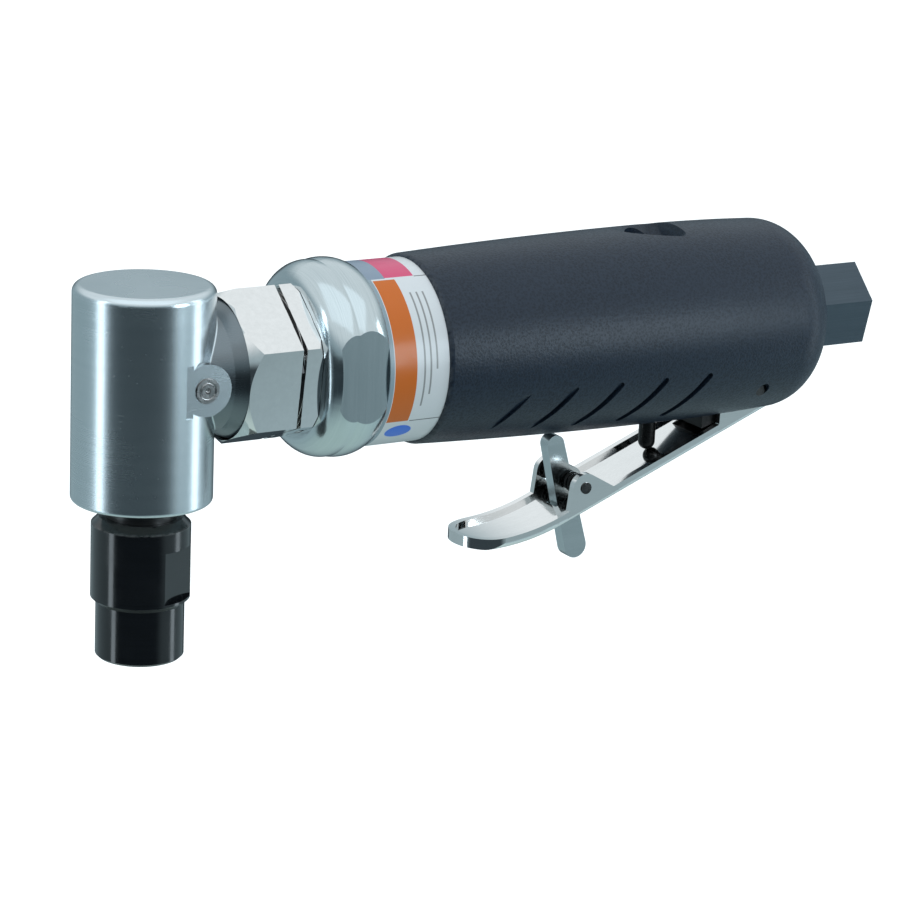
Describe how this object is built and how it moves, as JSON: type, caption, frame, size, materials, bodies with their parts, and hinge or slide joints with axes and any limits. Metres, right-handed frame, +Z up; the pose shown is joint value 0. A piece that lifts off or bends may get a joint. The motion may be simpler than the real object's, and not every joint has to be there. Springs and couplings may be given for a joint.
{
  "type": "air die grinder",
  "caption": "Right-angle air die grinder: angle head with collet, hexagonal coupling nut, round motor housing, composite grip, throttle lever with lock-off lever and rear air inlet.",
  "frame": {"origin": "centre of the collet's mouth, where the cutter's shank goes in", "axes": "+Z up the spindle, away from the cutter; +X from the angle head towards the air inlet"},
  "size_m": [0.183, 0.042, 0.0783],
  "materials": {
    "satin_head": "satin, brushed round the head",
    "fitting_steel": "turned",
    "bearing_steel": "ground",
    "dark_steel": "oiled dark steel",
    "collet_steel": "hardened, dark",
    "black_oxide": "glossy black oxide",
    "gear_steel": "machined",
    "polished_nut": "polished",
    "polished_housing": "polished, slightly satin",
    "label_print": "printed film, satin",
    "motor_iron": "machined",
    "gasket_paper": "matte",
    "rotor_steel": "ground",
    "vane_composite": "laminated, matte",
    "grip_composite": "moulded, fine texture",
    "housing_black": "dark coated",
    "regulator_knob": "moulded",
    "valve_brass": "turned",
    "stem_black": "black",
    "seal_rubber": "matte",
    "spring_steel": "drawn wire",
    "inlet_steel": "dark, milled",
    "screen_mesh": "pressed",
    "diffuser_felt": "felt",
    "plated_lever": "plated, bright",
    "pin_steel": "ground",
    "plated_lock": "plated, satin"
  },
  "bodies": {
    "housing": {"angle_head": "satin_head", "grease_fitting": "fitting_steel", "head_cap": "bearing_steel", "pinion_clamp_ring": "gear_steel", "coupling_nut": "polished_nut", "neck_ring": "bearing_steel", "motor_housing": "polished_housing", "label_band": "label_print", "front_plate": "motor_iron", "wave_washer": "bearing_steel", "cylinder_liner": "motor_iron", "rear_plate": "motor_iron", "dowels": "bearing_steel", "motor_gasket": "gasket_paper", "grip": "grip_composite", "valve_housing": "housing_black", "valve_bush": "valve_brass", "inlet_bushing": "inlet_steel", "inlet_screen": "screen_mesh", "exhaust_diffuser": "diffuser_felt", "lever_pin": "pin_steel", "upper_spindle_bearing_outer_ring": "bearing_steel", "lower_spindle_bearing_outer_ring": "bearing_steel", "pinion_front_bearing_outer_ring": "bearing_steel", "pinion_rear_bearing_outer_ring": "bearing_steel", "rotor_front_bearing_outer_ring": "bearing_steel", "rotor_rear_bearing_outer_ring": "bearing_steel"},
    "rotor": {"rotor": "rotor_steel", "vanes": "vane_composite", "bevel_pinion": "gear_steel", "pinion_spacer": "gear_steel", "pinion_front_bearing_inner_ring": "bearing_steel", "pinion_front_bearing_balls": "bearing_steel", "pinion_rear_bearing_inner_ring": "bearing_steel", "pinion_rear_bearing_balls": "bearing_steel", "rotor_front_bearing_inner_ring": "bearing_steel", "rotor_front_bearing_balls": "bearing_steel", "rotor_rear_bearing_inner_ring": "bearing_steel", "rotor_rear_bearing_balls": "bearing_steel"},
    "spindle": {"spindle": "dark_steel", "crown_gear": "gear_steel", "upper_spindle_bearing_inner_ring": "bearing_steel", "upper_spindle_bearing_balls": "bearing_steel", "lower_spindle_bearing_inner_ring": "bearing_steel", "lower_spindle_bearing_balls": "bearing_steel"},
    "collet": {"collet": "collet_steel"},
    "collet_nut": {"collet_nut": "black_oxide"},
    "throttle_lever": {"throttle_lever": "plated_lever", "lock_pin": "pin_steel", "torsion_spring": "stem_black"},
    "lock_lever": {"lock_lever": "plated_lock"},
    "valve": {"valve_stem": "stem_black", "valve_seal": "seal_rubber", "valve_spring": "spring_steel"},
    "regulator": {"power_regulator": "regulator_knob"}
  },
  "joints": [
    {"name": "rotor_spin", "type": "hinge", "parent": "housing", "child": "rotor", "pos_m": [0.07, 0, 0.0573], "axis": [1, 0, 0], "continuous": true},
    {"name": "spindle_spin", "type": "hinge", "parent": "housing", "child": "spindle", "pos_m": [0, 0, 0.0373], "axis": [0, 0, 1], "continuous": true},
    {"name": "collet_draw", "type": "slide", "parent": "spindle", "child": "collet", "axis": [0, 0, -1], "range_m": [0, 0.002]},
    {"name": "collet_nut_turn", "type": "hinge", "parent": "collet", "child": "collet_nut", "pos_m": [0, 0, 0.0173], "axis": [0, 0, -1], "range_deg": [0, 722]},
    {"name": "lever_squeeze", "type": "hinge", "parent": "housing", "child": "throttle_lever", "pos_m": [0.1362, 0, 0.045], "axis": [0, 1, 0], "range_deg": [0, 5.5], "stiffness_Nm_per_rad": 0.8, "springref_deg": -4.58},
    {"name": "lock_swing", "type": "hinge", "parent": "throttle_lever", "child": "lock_lever", "pos_m": [0.0987, 0, 0.0253], "axis": [0, -1, 0], "range_deg": [0, 40], "stiffness_Nm_per_rad": 0.02, "springref_deg": -17.19},
    {"name": "valve_lift", "type": "slide", "parent": "housing", "child": "valve", "axis": [0, 0, 1], "range_m": [0, 0.0022], "deforming": ["valve_spring"]},
    {"name": "regulator_turn", "type": "hinge", "parent": "housing", "child": "regulator", "pos_m": [0.1146, 0, 0.0725], "axis": [0.342, 0, 0.9397], "range_deg": [0, 90]}
  ],
  "couplings": [
    {"joint": "spindle_spin", "follows": "rotor_spin", "ratio": 0.82353},
    {"joint": "collet_nut_turn", "follows": "collet_draw", "rad_per_m": 6283.2},
    {"joint": "lock_swing", "follows": "lever_squeeze", "ratio": 7.2722},
    {"joint": "valve_lift", "follows": "lever_squeeze", "m_per_rad": 0.021939}
  ]
}
